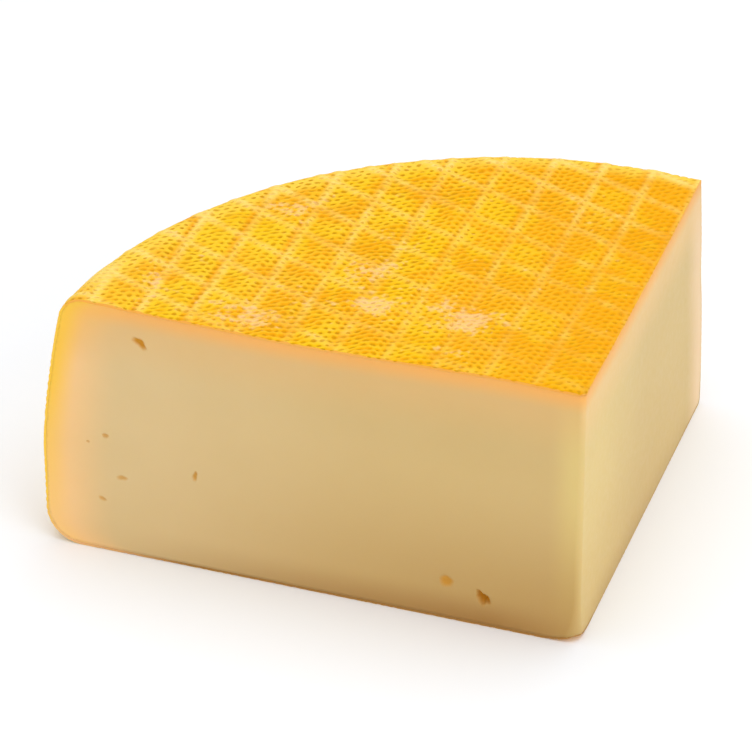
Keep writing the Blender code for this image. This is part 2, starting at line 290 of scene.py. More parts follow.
def made_piece(name, patches, attributes):
    """One closed piece from patches that share their edges' places. Where a hidden patch meets one that
    shows, the values of the one that shows are kept."""
    starts = np.cumsum([0] + [len(patch["points"]) for patch in patches])
    points = np.vstack([patch["points"] for patch in patches]) + TIP
    faces = np.vstack([patch["faces"] + start for patch, start in zip(patches, starts)])
    mesh = bpy.data.meshes.new(name)
    mesh.from_pydata(points.tolist(), [], faces.tolist())
    shows = [not patch.get("wall") for patch in patches]
    rounded = np.concatenate([np.full(len(patch["faces"]), show) for patch, show in zip(patches, shows)])
    mesh.polygons.foreach_set("use_smooth", rounded)
    for attribute in attributes:
        values = np.concatenate([patch[attribute] for patch in patches]).astype(np.float32)
        kind, field = ("FLOAT_VECTOR", "vector") if values.ndim == 2 else ("FLOAT", "value")
        mesh.attributes.new(attribute, kind, "POINT").data.foreach_set(field, values.ravel())

    bm = bmesh.new()
    bm.from_mesh(mesh)
    shown = np.concatenate([np.full(len(patch["points"]), show) for patch, show in zip(patches, shows)])
    kept = [vert for vert, is_shown in zip(bm.verts, shown) if is_shown]
    doubles = bmesh.ops.find_doubles(bm, verts=bm.verts, keep_verts=kept, dist=WELD_REACH)
    bmesh.ops.weld_verts(bm, targetmap=doubles["targetmap"])
    bmesh.ops.remove_doubles(bm, verts=bm.verts, dist=WELD_REACH)
    bm.to_mesh(mesh)
    bm.free()
    piece = bpy.data.objects.new(name, mesh)
    bpy.context.scene.collection.objects.link(piece)
    return piece


# How deep the paste starts under the rind's skin, how far its cut faces stand back from the rind's cut edge,
# the steps between its points, and the knife's slow waves
PASTE_DEPTH = 0.00042
STAND_BACK = 0.00003
HIDDEN_STEP = 0.0040
PASTE_STEP = 0.0008
KNIFE_WAVE = 0.0004
KNIFE_WAVE_SCALE = 0.022

# The eyes of the longer cut: place along it from the tip and height, half sizes, depth, turn in degrees, how
# ragged they are, and how strong the painted shade in their hollows is
EYES = [
    {"at": (along, up), "half": (a, b), "depth": depth, "turn": turn, "ragged": ragged, "shade_amount": shade_amount}
    for along, up, a, b, depth, turn, ragged, shade_amount in (
        (0.1098, 0.0605, 0.0022, 0.0010, 0.0007, -40.0, 0.3, 1.0),
        (0.1195, 0.0327, 0.0009, 0.0007, 0.0004, 0.0, 0.1, 0.6),
        (0.1241, 0.0302, 0.0005, 0.0004, 0.0002, 0.0, 0.0, 0.4),
        (0.0966, 0.0261, 0.0015, 0.0006, 0.0004, 80.0, 0.2, 0.8),
        (0.1155, 0.0216, 0.0015, 0.0007, 0.0003, 5.0, 0.2, 0.6),
        (0.1208, 0.0146, 0.0011, 0.0006, 0.0003, -20.0, 0.1, 0.6),
        (0.0330, 0.0106, 0.0018, 0.0017, 0.0005, 0.0, 0.1, 0.8),
        (0.0239, 0.0077, 0.0022, 0.0014, 0.0020, -50.0, 0.3, 1.0),
    )
]
EYE_BOWL = 0.8
EYE_SHADE_FADE = (0.45, 1.20)
EYE_REACH = 1.8
EYE_CLEAR = 0.3
EYE_RINGS = 14
EYE_SPOKES = 28


def eye_distance(eye, places, ragged=1.0):
    """Distance of places on a cut face from an eye's middle, where 1 is its edge with three broad lobes and
    five small ones."""
    turn = math.radians(eye["turn"])
    x = eye["at"][0] - places[:, 0]
    y = places[:, 1] - eye["at"][1]
    a = (x * math.cos(turn) + y * math.sin(turn)) / eye["half"][0]
    b = (y * math.cos(turn) - x * math.sin(turn)) / eye["half"][1]
    angle = np.arctan2(b, a)
    lobes = 0.5 * np.sin(3.0 * angle + eye["at"][0] / 0.001) + 0.3 * np.sin(5.0 * angle)
    return np.hypot(a, b) / (1.0 + ragged * eye["ragged"] * lobes)


def eye_points(eye):
    """Rings of close points in and round an eye."""
    turn = math.radians(eye["turn"])
    radius, spoke = np.meshgrid(np.linspace(0.1, EYE_REACH, EYE_RINGS), np.arange(EYE_SPOKES))
    angle = math.tau * spoke / EYE_SPOKES + radius
    a = (eye["half"][0] * radius * np.cos(angle)).ravel()
    b = (eye["half"][1] * radius * np.sin(angle)).ravel()
    x = a * math.cos(turn) - b * math.sin(turn)
    y = a * math.sin(turn) + b * math.cos(turn)
    return np.column_stack([eye["at"][0] - x, eye["at"][1] + y])


def cut_patch(way, into, rim_end, foot_line, tip_row, top_line, eyes, short):
    """A cut face with its knife waves and its eyes, from the four stretches of its ring."""
    ring = np.vstack([rim_end, foot_line[::-1], tip_row, top_line])
    flat = np.column_stack([ring[:, :2] @ way, ring[:, 2]])
    length = rim_distance(way)

    def gaps(places):
        rim = np.interp(places[:, 1], rim_end[::-1, 2], rim_end[::-1, :2] @ way) - places[:, 0]
        top = np.interp(places[:, 0], top_line[:, :2] @ way, top_line[:, 2]) - places[:, 1]
        foot = places[:, 1] - np.interp(places[:, 0], foot_line[:, :2] @ way, foot_line[:, 2])
        tip = places[:, 0] - np.interp(places[:, 1], tip_row[:, 2], tip_row[:, :2] @ way)
        return np.column_stack([rim, top, foot, tip])

    inner = grid((0.0, 0.0), (length, WHEEL_HEIGHT), PASTE_STEP)
    inner = inner[(gaps(inner) > PASTE_STEP / 2.0).all(axis=1)]
    for eye in eyes:
        inner = np.vstack([inner[eye_distance(eye, inner, 0.0) > EYE_REACH + EYE_CLEAR], eye_points(eye)])
    faces = fill(flat, inner)

    places = np.vstack([flat, inner])
    fade = np.sin(math.pi * np.clip(places[:, 0] / length, 0.0, 1.0))
    fade *= np.sin(math.pi * np.clip(places[:, 1] / WHEEL_HEIGHT, 0.0, 1.0))
    hollow = KNIFE_WAVE * fade * (1.0 + noise_at(places, KNIFE_WAVE_SCALE, length / KNIFE_WAVE_SCALE)) / 2.0
    # The eyes' hollows get painted shade, which fades out just past their edge
    eye_shade = np.zeros(len(places))
    for eye in eyes:
        distance = eye_distance(eye, places)
        hollow = hollow + eye["depth"] * np.clip(1.0 - distance**2, 0.0, 1.0) ** EYE_BOWL
        eye_shade = np.maximum(eye_shade, eye["shade_amount"] * (1.0 - smooth(*EYE_SHADE_FADE, distance)))
    hollow[: len(ring)] = 0.0
    plan = places[:, :1] * way + (hollow + STAND_BACK)[:, None] * into
    return {
        "points": np.column_stack([plan, places[:, 1]]),
        "faces": faces if short else faces[:, ::-1],
        "gaps": gaps(places)[:, :3],
        "face": np.column_stack([np.full(len(places), float(short)), places[:, 0], eye_shade]),
    }


def stand_back(points):
    """Points at the two cuts, moved behind the rind's cut edge."""
    lengths = np.abs(points[:, :2] @ ALONG_CUTS)
    at_long = np.where(lengths[:, 1] < ON_CUT, STAND_BACK, 0.0)[:, None] * INTO_LONG_CUT
    at_short = np.where(lengths[:, 0] < ON_CUT, STAND_BACK, 0.0)[:, None] * INTO_SHORT_CUT
    return points + np.column_stack([at_long + at_short, np.zeros(len(points))])


def under_rind(patch):
    """A patch of the paste that the rind hides."""
    points = stand_back(patch["points"])
    return {"points": points, "faces": patch["faces"], "gaps": 0 * points, "face": 0 * points, "wall": True}


def on_top(depth):
    return lambda plan: np.column_stack([plan, top_height(plan) - depth])


def on_foot(depth):
    return lambda plan: lifted(np.column_stack([plan, np.full(len(plan), depth)]))


def section_row(share):
    """The paste's edge at a cut, from the top's edge down to the base's."""
    down = even(0.0, float(rim_sizes(share)["length"]), PASTE_STEP)
    return stand_back(rim_surface(np.full(len(down), share), down, PASTE_DEPTH)[0])


paste_top = plan_ring(top_edge, WHEEL_HEIGHT, PASTE_STEP)
paste_foot = plan_ring(foot_edge, 0.0, PASTE_STEP)
paste_shares = paste_top["shares"]
paste_rim = strip_ring(paste_shares, 0.0 * paste_shares, rim_sizes(paste_shares)["length"], PASTE_STEP)

tip_shares = even(0.0, 1.0, PASTE_STEP / WHEEL_HEIGHT)
tip_top = on_top(PASTE_DEPTH)(paste_top["tip"])[:, 2]
tip_foot = on_foot(PASTE_DEPTH)(paste_foot["tip"])[:, 2]
tip_rows = [
    stand_back(np.column_stack([plan, mix(foot, top, tip_shares)]))
    for plan, foot, top in zip(tip_round(tip_shares * WHEEL_HEIGHT, TIP_STEPS), tip_foot, tip_top)
]
tip_points = np.vstack(tip_rows)
tip_up = tip_points[:, 2]
row_size = len(tip_shares)
tip_low = np.concatenate([np.arange(row_size - 1) + step * row_size for step in range(TIP_STEPS)])
tip_next = tip_low + row_size
tip_first = np.column_stack([tip_low, tip_next, tip_next + 1])
tip_second = np.column_stack([tip_low, tip_next + 1, tip_low + 1])
tip_patch = {
    "points": tip_points,
    "faces": np.vstack([tip_first, tip_second]),
    "gaps": np.column_stack([0.0 * tip_up + WHEEL_RADIUS, tip_top[0] - tip_up, tip_up]),
    "face": np.column_stack(
        [
            np.repeat(np.linspace(0.0, 1.0, TIP_STEPS + 1), row_size),
            np.linalg.norm(tip_points[:, :2], axis=1),
            0.0 * tip_up,
        ]
    ),
}
long_patch = cut_patch(
    LONG_CUT,
    INTO_LONG_CUT,
    section_row(0.0),
    on_foot(PASTE_DEPTH)(paste_foot["long"]),
    tip_rows[0],
    on_top(PASTE_DEPTH)(paste_top["long"]),
    EYES,
    False,
)
short_patch = cut_patch(
    SHORT_CUT,
    INTO_SHORT_CUT,
    section_row(1.0),
    on_foot(PASTE_DEPTH)(paste_foot["short"]),
    tip_rows[-1],
    on_top(PASTE_DEPTH)(paste_top["short"]),
    (),
    True,
)
paste = made_piece(
    "paste",
    [
        under_rind(plan_patch(paste_top, top_edge, HIDDEN_STEP, on_top(PASTE_DEPTH), True)),
        under_rind(plan_patch(paste_foot, foot_edge, HIDDEN_STEP, on_foot(PASTE_DEPTH), False)),
        under_rind(strip_patch(paste_rim, HIDDEN_STEP, PASTE_DEPTH)),
        tip_patch,
        long_patch,
        short_patch,
    ],
    ("gaps", "face"),
)


def paint(code):
    """A sRGB hex colour as the linear colour that a shader needs."""
    parts = [int(code[start : start + 2], 16) / 255.0 for start in (1, 3, 5)]
    return (*(part / 12.92 if part <= 0.04045 else ((part + 0.055) / 1.055) ** 2.4 for part in parts), 1.0)


def add(tree, kind, inputs, **settings):
    """Adds a node and gives its outputs; an input is a value or the output that feeds it."""
    node = tree.nodes.new(kind)
    for setting, value in settings.items():
        setattr(node, setting, value)
    for socket, value in inputs.items():
        if isinstance(value, bpy.types.NodeSocket):
            tree.links.new(value, node.inputs[socket])
        else:
            node.inputs[socket].default_value = value
    return node.outputs


def blank_material(name):
    material = bpy.data.materials.new(name)
    material.use_nodes = True
    material.node_tree.nodes.clear()
    return material, material.node_tree


# Ripened curd: matt, faintly moist and a little see-through, so light bleeds through its thin edge at the
# tip. It turns peach and then yellow towards the rind. Its colour also holds painted light and shade: a
# painted glow and painted light along the tip's edge, painted shade on the longer cut towards the tip, and
# painted shade towards the foot.
PASTE_SHADED_TAN = paint("#D6B77B")
PASTE_CREAM = paint("#DEC18C")
PASTE_SHORT = paint("#DBBE81")
PASTE_PAINTED_LIGHT = paint("#E8CC88")
PASTE_PAINTED_GLOW = paint("#E6CC82")
PASTE_CLOUD = paint("#C9A868")
PASTE_FOOT_SHADE = paint("#B78D4E")
PASTE_SOLE_SHADE = paint("#A06F36")
PASTE_BLUSH = paint("#E6B877")
PASTE_BLUSH_SHORT = paint("#F6CB8C")
PASTE_PEACH = paint("#FBB35C")
PASTE_RIM = paint("#FFCB8A")
PASTE_RIM_SHORT = paint("#F8D6AC")
PASTE_YELLOW = paint("#FFC844")
PASTE_CORNER = paint("#FFC060")
PASTE_EYE_SHADE = paint("#CE8B08")

paste_material, tree = blank_material("semi_soft_cheese_paste")
place = add(tree, "ShaderNodeTexCoord", {})["Object"]
gaps = add(tree, "ShaderNodeAttribute", {}, attribute_name="gaps")["Vector"]
rim_gap, top_gap, foot_gap = add(tree, "ShaderNodeSeparateXYZ", {0: gaps})
face = add(tree, "ShaderNodeAttribute", {}, attribute_name="face")["Vector"]
short_face, tip_gap, eye_shade = add(tree, "ShaderNodeSeparateXYZ", {0: face})
long_face = add(tree, "ShaderNodeMath", {0: 1.0, 1: short_face}, operation="SUBTRACT")[0]

# Clouds of 20 mm, curds of 1.8 mm and grain of 0.4 mm
PASTE_NOISE = (
    {"Scale": 1 / 0.020, "Detail": 3.0},
    {"Scale": 1 / 0.0018, "Detail": 3.0, "Roughness": 0.6},
    {"Scale": 1 / 0.0004, "Detail": 2.0},
)
clouds, curd, grain = (add(tree, "ShaderNodeTexNoise", {"Vector": place, **size})[0] for size in PASTE_NOISE)

# The painted shade at the foot is strongest near the tip of the longer cut, and the rim's yellow is strongest
# near the top. The sole, the foot's last centimetre, gets a deeper painted shade, lighter again where the
# tip's foot is lifted.
foot_shade_part = add(tree, "ShaderNodeMapRange", {0: tip_gap, 1: 0.0, 2: 0.115, 3: 1.0, 4: 0.08})[0]
face_part = add(tree, "ShaderNodeMapRange", {0: short_face, 3: 1.0, 4: 0.35})[0]
foot_shade_part = add(tree, "ShaderNodeMath", {0: foot_shade_part, 1: face_part}, operation="MULTIPLY")[0]
yellow_part = add(tree, "ShaderNodeMapRange", {0: foot_gap, 1: 0.005, 2: 0.045, 3: 0.25, 4: 1.0})[0]
yellow_part = add(tree, "ShaderNodeMath", {0: yellow_part, 1: long_face}, operation="MULTIPLY")[0]
from_tip = add(tree, "ShaderNodeMapRange", {0: tip_gap, 1: 0.003, 2: 0.022, 3: 0.2, 4: 1.0})[0]
sole_shade_part = add(tree, "ShaderNodeMath", {0: foot_shade_part, 1: from_tip}, operation="MULTIPLY")[0]
corner_gap = add(tree, "ShaderNodeMath", {0: top_gap, 1: 0.7, 2: rim_gap}, operation="MULTIPLY_ADD")[0]

# Each wash is a colour, the distance that it fades with, where it starts to fade and where it is gone, how
# much of it lies at its start, and on which part
WASHES = (
    # Painted shade: the longer cut darker towards the tip
    {"colour": PASTE_SHADED_TAN, "by": tip_gap, "from": 0.030, "to": 0.120, "most": 1.0, "on": long_face},
    {"colour": PASTE_SHORT, "by": tip_gap, "from": 0.0, "to": 1.0, "most": 1.0, "on": short_face},
    # Painted light: the shorter cut lighter towards the tip's edge
    {"colour": PASTE_PAINTED_LIGHT, "by": tip_gap, "from": 0.004, "to": 0.060, "most": 0.95, "on": short_face},
    # Painted glow: the longer cut lighter just by the tip's edge, where light bleeds through
    {"colour": PASTE_PAINTED_GLOW, "by": tip_gap, "from": 0.0015, "to": 0.0090, "most": 0.80, "on": long_face},
    # Painted shade: darker towards the foot, and darker still in the sole
    {"colour": PASTE_FOOT_SHADE, "by": foot_gap, "from": 0.0, "to": 0.044, "most": 0.85, "on": foot_shade_part},
    {"colour": PASTE_SOLE_SHADE, "by": foot_gap, "from": 0.0, "to": 0.009, "most": 0.90, "on": sole_shade_part},
    {"colour": PASTE_RIM, "by": rim_gap, "from": 0.0012, "to": 0.0185, "most": 0.90, "on": long_face},
    {"colour": PASTE_RIM_SHORT, "by": rim_gap, "from": 0.0, "to": 0.0150, "most": 0.90, "on": short_face},
    {"colour": PASTE_BLUSH, "by": top_gap, "from": 0.002, "to": 0.0190, "most": 0.65, "on": long_face},
    {"colour": PASTE_BLUSH_SHORT, "by": top_gap, "from": 0.002, "to": 0.0190, "most": 0.75, "on": short_face},
    {"colour": PASTE_PEACH, "by": top_gap, "from": 0.0, "to": 0.0060, "most": 0.90, "on": None},
    {"colour": PASTE_CORNER, "by": corner_gap, "from": 0.004, "to": 0.0200, "most": 0.75, "on": long_face},
    {"colour": PASTE_YELLOW, "by": rim_gap, "from": 0.0003, "to": 0.0070, "most": 0.95, "on": yellow_part},
)
paste_colour = PASTE_CREAM
for wash in WASHES:
    fade = {0: wash["by"], 1: wash["from"], 2: wash["to"], 3: wash["most"], 4: 0.0}
    amount = add(tree, "ShaderNodeMapRange", fade, interpolation_type="SMOOTHSTEP")[0]
    if wash["on"]:
        amount = add(tree, "ShaderNodeMath", {0: amount, 1: wash["on"]}, operation="MULTIPLY")[0]
    layer = {0: amount, 6: paste_colour, 7: wash["colour"]}
    paste_colour = add(tree, "ShaderNodeMix", layer, data_type="RGBA")[2]
cloud = add(tree, "ShaderNodeMapRange", {0: clouds, 1: 0.40, 2: 0.66, 3: 0.0, 4: 0.08})[0]
# Painted shade in the eyes' hollows
in_eye = add(tree, "ShaderNodeMath", {0: eye_shade, 1: 0.90}, operation="MULTIPLY")[0]
for amount, over in ((cloud, PASTE_CLOUD), (in_eye, PASTE_EYE_SHADE)):
    layer = {0: amount, 6: paste_colour, 7: over}
    paste_colour = add(tree, "ShaderNodeMix", layer, data_type="RGBA")[2]
paste_relief = add(tree, "ShaderNodeMath", {0: grain, 1: 0.3, 2: curd}, operation="MULTIPLY_ADD")[0]
paste_bump = add(tree, "ShaderNodeBump", {"Strength": 0.35, "Distance": 0.00012, "Height": paste_relief})[0]
paste_rough = add(tree, "ShaderNodeMapRange", {0: curd, 1: 0.3, 2: 0.7, 3: 0.46, 4: 0.60})[0]
paste_shader = add(
    tree,
    "ShaderNodeBsdfPrincipled",
    {
        "Base Color": paste_colour,
        "Roughness": paste_rough,
        "IOR": 1.43,
        "Specular IOR Level": 0.15,
        "Subsurface Weight": 0.20,
        "Subsurface Radius": (1.0, 0.62, 0.28),
        "Subsurface Scale": 0.0010,
        "Normal": paste_bump,
    },
)
add(tree, "ShaderNodeOutputMaterial", {"Surface": paste_shader[0]})
paste.data.materials.append(paste_material)
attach(paste, "root")
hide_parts("cheese")


# The rind of the top
#
# A thin washed rind, smeared orange-yellow as it ripened. It kept the print of the plastic mat that the wheel
# was drained on: rows of small dimples, and narrow ribs where the mat's strands crossed.
RIND_DEPTH = 0.0006
TOP_STEP = 0.00043
TOP_OVERHANG = 0.011

# The print: how many of its waves lie in a metre along X and Y, for its two ways, how far they stray, how
# deep its dimples are, and the two families of ribs, worn down towards the tip to their least height
PRINT_WAVES = np.array([[520.0, -33.0], [283.0, 449.0]])
PRINT_WANDER = 0.18
PRINT_WANDER_SCALE = 0.010
PRINT_JITTER = 0.30
PRINT_JITTER_SCALE = 0.0027
RIB_PITCH = (0.01225, 0.01130)
RIB_NORMAL = (math.radians(2.0), math.radians(68.0))
RIB_PHASE = (0.04, 0.13)
RIB_ON_FLANK = 0.4
RIB_LEAST = (0.42, 0.20)
RIB_WORN = (0.065, 0.120)
RIB_HALF_WIDTH = 0.0016
RIB_HEIGHT = 0.00020
DIMPLE_DEPTH = 0.00026

# Where the rind was rubbed pale, in plan from the tip: place, reach and amount
WORN_PLACES = (
    ((-0.036, 0.023), (0.0055, 0.0080), 1.00),
    ((-0.043, 0.029), (0.0050, 0.0050), 0.70),
    ((-0.060, 0.023), (0.0100, 0.0060), 0.85),
    ((-0.066, 0.037), (0.0070, 0.0065), 0.70),
    ((-0.047, 0.031), (0.0060, 0.0055), 0.55),
    ((-0.045, 0.049), (0.0055, 0.0065), 0.45),
    ((-0.087, 0.008), (0.0120, 0.0065), 0.80),
    ((-0.079, 0.020), (0.0080, 0.0045), 0.45),
    ((-0.036, 0.008), (0.0045, 0.0065), 0.50),
    ((-0.094, 0.058), (0.0085, 0.0055), 0.75),
    ((-0.066, 0.055), (0.0060, 0.0055), 0.45),
    ((-0.113, 0.016), (0.0100, 0.0090), 0.50),
)

# Where the rind is painted paler, partly a thinner wash and partly a painted sheen: towards the longer cut's
# end of the rim, and in a band along the rim
PALE_FROM = 0.045
PALE_TO = 0.130
PALE_MOST = 0.26
RIM_BAND = 0.0065
RIM_BAND_MOST = 1.0

# How far dimples join into strokes in their rows, most of all towards the longer cut's end of the rim, and
# the rows' sag between ribs
JOINED = 0.5
JOINED_CHANGE = 0.9
JOINED_SCALE = 0.014
JOINED_FAR = 0.35
JOINED_FAR_FROM = 0.02
JOINED_FAR_TO = 0.10
ROW_SAG = 0.38

# Where the top's print and tone give way to the rim's own down the rim's section, how strong the rim's print
# is and where it ends above the foot, and how thin the rim's colour is
PRINT_TURNS = (0.004, 0.009)
TONE_TURNS = (0.003, 0.012)
SIDE_PRINT = 0.6
SIDE_PRINT_END = (0.001, 0.006)
SIDE_PALE = 0.35


def weave_at(plan, amount):
    """The print's two coordinates in turns, and how deep it is, at plan positions."""
    turns = plan @ PRINT_WAVES.T
    for wave in (0, 1):
        turns[:, wave] += PRINT_WANDER * noise_at(plan, PRINT_WANDER_SCALE, 3.0 + 6.0 * wave)
        turns[:, wave] += PRINT_JITTER * noise_at(plan, PRINT_JITTER_SCALE, 17.0 + 6.0 * wave)
    turns[:, 1] += ROW_SAG * np.cos(math.tau * (plan[:, 0] / RIB_PITCH[0] - RIB_PHASE[0]))
    return np.column_stack([turns, amount])


def ribs_at(plan, amount):
    """The turns of the two families of ribs, and how high they are, at plan positions."""
    turns = [
        plan @ np.array([math.cos(normal), math.sin(normal)]) / pitch - phase
        for pitch, normal, phase in zip(RIB_PITCH, RIB_NORMAL, RIB_PHASE)
    ]
    return np.column_stack([*turns, amount])


def tone_at(plan, from_rim):
    """How far the rind is rubbed, how pale it is painted, partly a thinner wash and partly a painted sheen,
    and how far its dimples join, at plan positions.
    """
    worn = np.zeros(len(plan))
    for place, reach, amount in WORN_PLACES:
        away = (plan - place) / reach
        worn = np.maximum(worn, amount * np.exp(-np.sum(away**2, axis=1)))
    pale_sheen = PALE_MOST * smooth(PALE_FROM, PALE_TO, -plan[:, 0])
    pale_sheen = np.maximum(pale_sheen, RIM_BAND_MOST * (1.0 - smooth(0.0, RIM_BAND, from_rim)))
    joined = JOINED + JOINED_CHANGE * noise_at(plan, JOINED_SCALE, 5.0)
    joined += JOINED_FAR * smooth(JOINED_FAR_FROM, JOINED_FAR_TO, -plan[:, 0])
    return np.column_stack([worn, pale_sheen, np.clip(joined, 0.0, 1.0)])


def from_edge(plan, edge):
    """How far plan positions lie inside the top's or the base's round edge."""
    share = np.clip((math.pi - np.arctan2(plan[:, 1], plan[:, 0])) / WEDGE_ANGLE, 0.0, 1.0)
    return np.linalg.norm(edge(share), axis=1) - np.linalg.norm(plan, axis=1)


def flat_rind(patch, edge, outward, print_amount, rib_amount, inside):
    """The print's values for a patch of the top or the base."""
    count = len(patch["points"])
    from_rim = from_edge(patch["plan"], edge)
    return {
        **patch,
        "outward": np.zeros((count, 3)) if inside else np.tile(outward, (count, 1)),
        "weave": weave_at(patch["plan"], print_amount(from_rim)),
        "side_weave": np.zeros((count, 3)),
        "ribs": ribs_at(patch["plan"], np.full(count, rib_amount)),
        "tone": tone_at(patch["plan"], from_rim),
        "depth": np.full(count, float(inside)),
    }


def rim_rind(patch, inside):
    """The print's values for a patch of the rim. The top's print carries on over the shoulder."""
    share, down = patch["share"], patch["down"]
    count = len(share)
    edge = top_edge(share)
    onwards = edge + rim_way(share) * down[:, None]
    over = smooth(*PRINT_TURNS, down)
    to_foot = rim_sizes(share)["length"] - down
    up = np.clip(patch["points"][:, 2] / WHEEL_HEIGHT, 0.0, 1.0)
    ribs = mix(RIB_ON_FLANK, 1.0, up**TOP_FADE)
    unrolled = np.column_stack([share * RIM_LENGTH, -down])
    tone = tone_at(onwards, 0.0 * down)
    side_tone = tone_at(unrolled, 0.0 * down + RIM_BAND)
    side_tone[:, 1] = SIDE_PALE
    return {
        **patch,
        "outward": np.zeros((count, 3)) if inside else patch["outward"],
        "weave": weave_at(onwards, 1.0 - over),
        "side_weave": weave_at(unrolled, SIDE_PRINT * over * smooth(*SIDE_PRINT_END, to_foot)),
        "ribs": ribs_at(edge, ribs * smooth(0.0, LONG_END["foot_round"], to_foot)),
        "tone": mix(tone, side_tone, smooth(*TONE_TURNS, down)[:, None]),
        "depth": np.full(count, float(inside)),
    }


def skin_wall(outer, inner, first, size, clockwise):
    """The edge of a skin between its outer and its inner side; both start with the same ring."""
    here = np.arange(first, size)
    after = (here + 1) % size
    first_faces = np.column_stack([here, after, after + size])
    faces = np.vstack([first_faces, np.column_stack([here, after + size, here + size])])
    names = ("points", *RIND_VALUES)
    edge = {name: np.concatenate([outer[name][:size], inner[name][:size]]) for name in names}
    return {**edge, "faces": faces if clockwise else faces[:, ::-1], "wall": True}


def turned(patch):
    return {**patch, "faces": patch["faces"][:, ::-1]}


RIND_VALUES = ("outward", "weave", "side_weave", "ribs", "tone", "depth")
top_ring = plan_ring(top_edge, WHEEL_HEIGHT, TOP_STEP)
rim_shares = top_ring["shares"]
shoulder_ring = strip_ring(rim_shares, 0.0 * rim_shares, 0.0 * rim_shares + TOP_OVERHANG, TOP_STEP)
UP = (0.0, 0.0, 1.0)


def full_print(from_rim):
    return np.ones(len(from_rim))


top_flat = plan_patch(top_ring, top_edge, TOP_STEP, on_top(0.0), True)
top_flat = flat_rind(top_flat, top_edge, UP, full_print, 1.0, False)
top_under = turned(plan_patch(top_ring, top_edge, HIDDEN_STEP, on_top(RIND_DEPTH), True))
top_under = flat_rind(top_under, top_edge, UP, full_print, 1.0, True)
shoulder_out = rim_rind(strip_patch(shoulder_ring, TOP_STEP, 0.0), False)
shoulder_under = rim_rind(turned(strip_patch(shoulder_ring, HIDDEN_STEP, RIND_DEPTH)), True)
top_count = len(top_ring["plan"])
shoulder_count = len(shoulder_ring["share"])
rind_top = made_piece(
    "rind_top",
    [
        top_flat,
        shoulder_out,
        top_under,
        shoulder_under,
        skin_wall(top_flat, top_under, len(rim_shares) - 1, top_count, True),
        skin_wall(shoulder_out, shoulder_under, len(rim_shares) - 1, shoulder_count, False),
    ],
    RIND_VALUES,
)


# A dimple is where three waves meet. These are their weighted sums at its floor, at its edge in relief and at
# the edge of the pale threads round it, and the two waves' weights in a round dimple and in a stroke.
DIMPLE_FLOOR = -0.25
DIMPLE_EDGE = -2.6
THREAD_EDGE = -3.4
ROUND_WEIGHT = 0.85
STROKE_WEIGHT = 0.36


def printed(tree, weave, side_weave, joined, edge):
    """How far a place lies in a dimple of either print, from 0 to 1; edge is its waves' sum where it ends."""
    stretch = {0: joined, 1: 0.0, 2: 1.0, 3: ROUND_WEIGHT, 4: STROKE_WEIGHT}
    weight = add(tree, "ShaderNodeMapRange", stretch)[0]
    weights = add(tree, "ShaderNodeCombineXYZ", {0: weight, 1: weight, 2: 1.0})[0]
    result = 0.0
    for turns in (weave, side_weave):
        first, second, amount = add(tree, "ShaderNodeSeparateXYZ", {0: turns})
        across = add(tree, "ShaderNodeMath", {0: first, 1: second}, operation="SUBTRACT")[0]
        angles = add(tree, "ShaderNodeCombineXYZ", {0: first, 1: second, 2: across})[0]
        total = add(tree, "ShaderNodeVectorMath", {0: angles, "Scale": math.tau}, operation="SCALE")[0]
        total = add(tree, "ShaderNodeVectorMath", {0: total}, operation="COSINE")[0]
        total = add(tree, "ShaderNodeVectorMath", {0: total, 1: (-1.0, -1.0, -1.0)}, operation="ADD")[0]
        total = add(tree, "ShaderNodeVectorMath", {0: total, 1: weights}, operation="DOT_PRODUCT")[1]
        ends = {0: total, 1: edge, 2: DIMPLE_FLOOR, 3: 0.0, 4: 1.0}
        dimple = add(tree, "ShaderNodeMapRange", ends, interpolation_type="SMOOTHSTEP")[0]
        sum_so_far = {0: dimple, 1: amount, 2: result}
        result = add(tree, "ShaderNodeMath", sum_so_far, operation="MULTIPLY_ADD")[0]
    return result


def ribbed(tree, ribs, place, half_widths):
    """How far a place lies on a rib, from 0 to 1, for as many families as there are half widths. The ribs are
    worn down towards the tip, the second family more than the first."""
    from_tip = add(tree, "ShaderNodeVectorMath", {0: place, 1: tuple(TIP)}, operation="DISTANCE")[1]
    turns = add(tree, "ShaderNodeSeparateXYZ", {0: ribs})
    result = 0.0
    for turn, pitch, half_width, least in zip(turns, RIB_PITCH, half_widths, RIB_LEAST):
        away = add(tree, "ShaderNodeMath", {0: turn, 1: 0.5}, operation="PINGPONG")[0]
        ends = {0: away, 1: 0.0, 2: half_width / pitch, 3: 1.0, 4: 0.0}
        rib = add(tree, "ShaderNodeMapRange", ends, interpolation_type="SMOOTHSTEP")[0]
        wear = {0: from_tip, 1: RIB_WORN[0], 2: RIB_WORN[1], 3: least, 4: 1.0}
        worn = add(tree, "ShaderNodeMapRange", wear)[0]
        rib = add(tree, "ShaderNodeMath", {0: rib, 1: worn}, operation="MULTIPLY")[0]
        result = add(tree, "ShaderNodeMath", {0: rib, 1: result}, operation="MAXIMUM")[0]
    return add(tree, "ShaderNodeMath", {0: result, 1: turns[2]}, operation="MULTIPLY")[0]


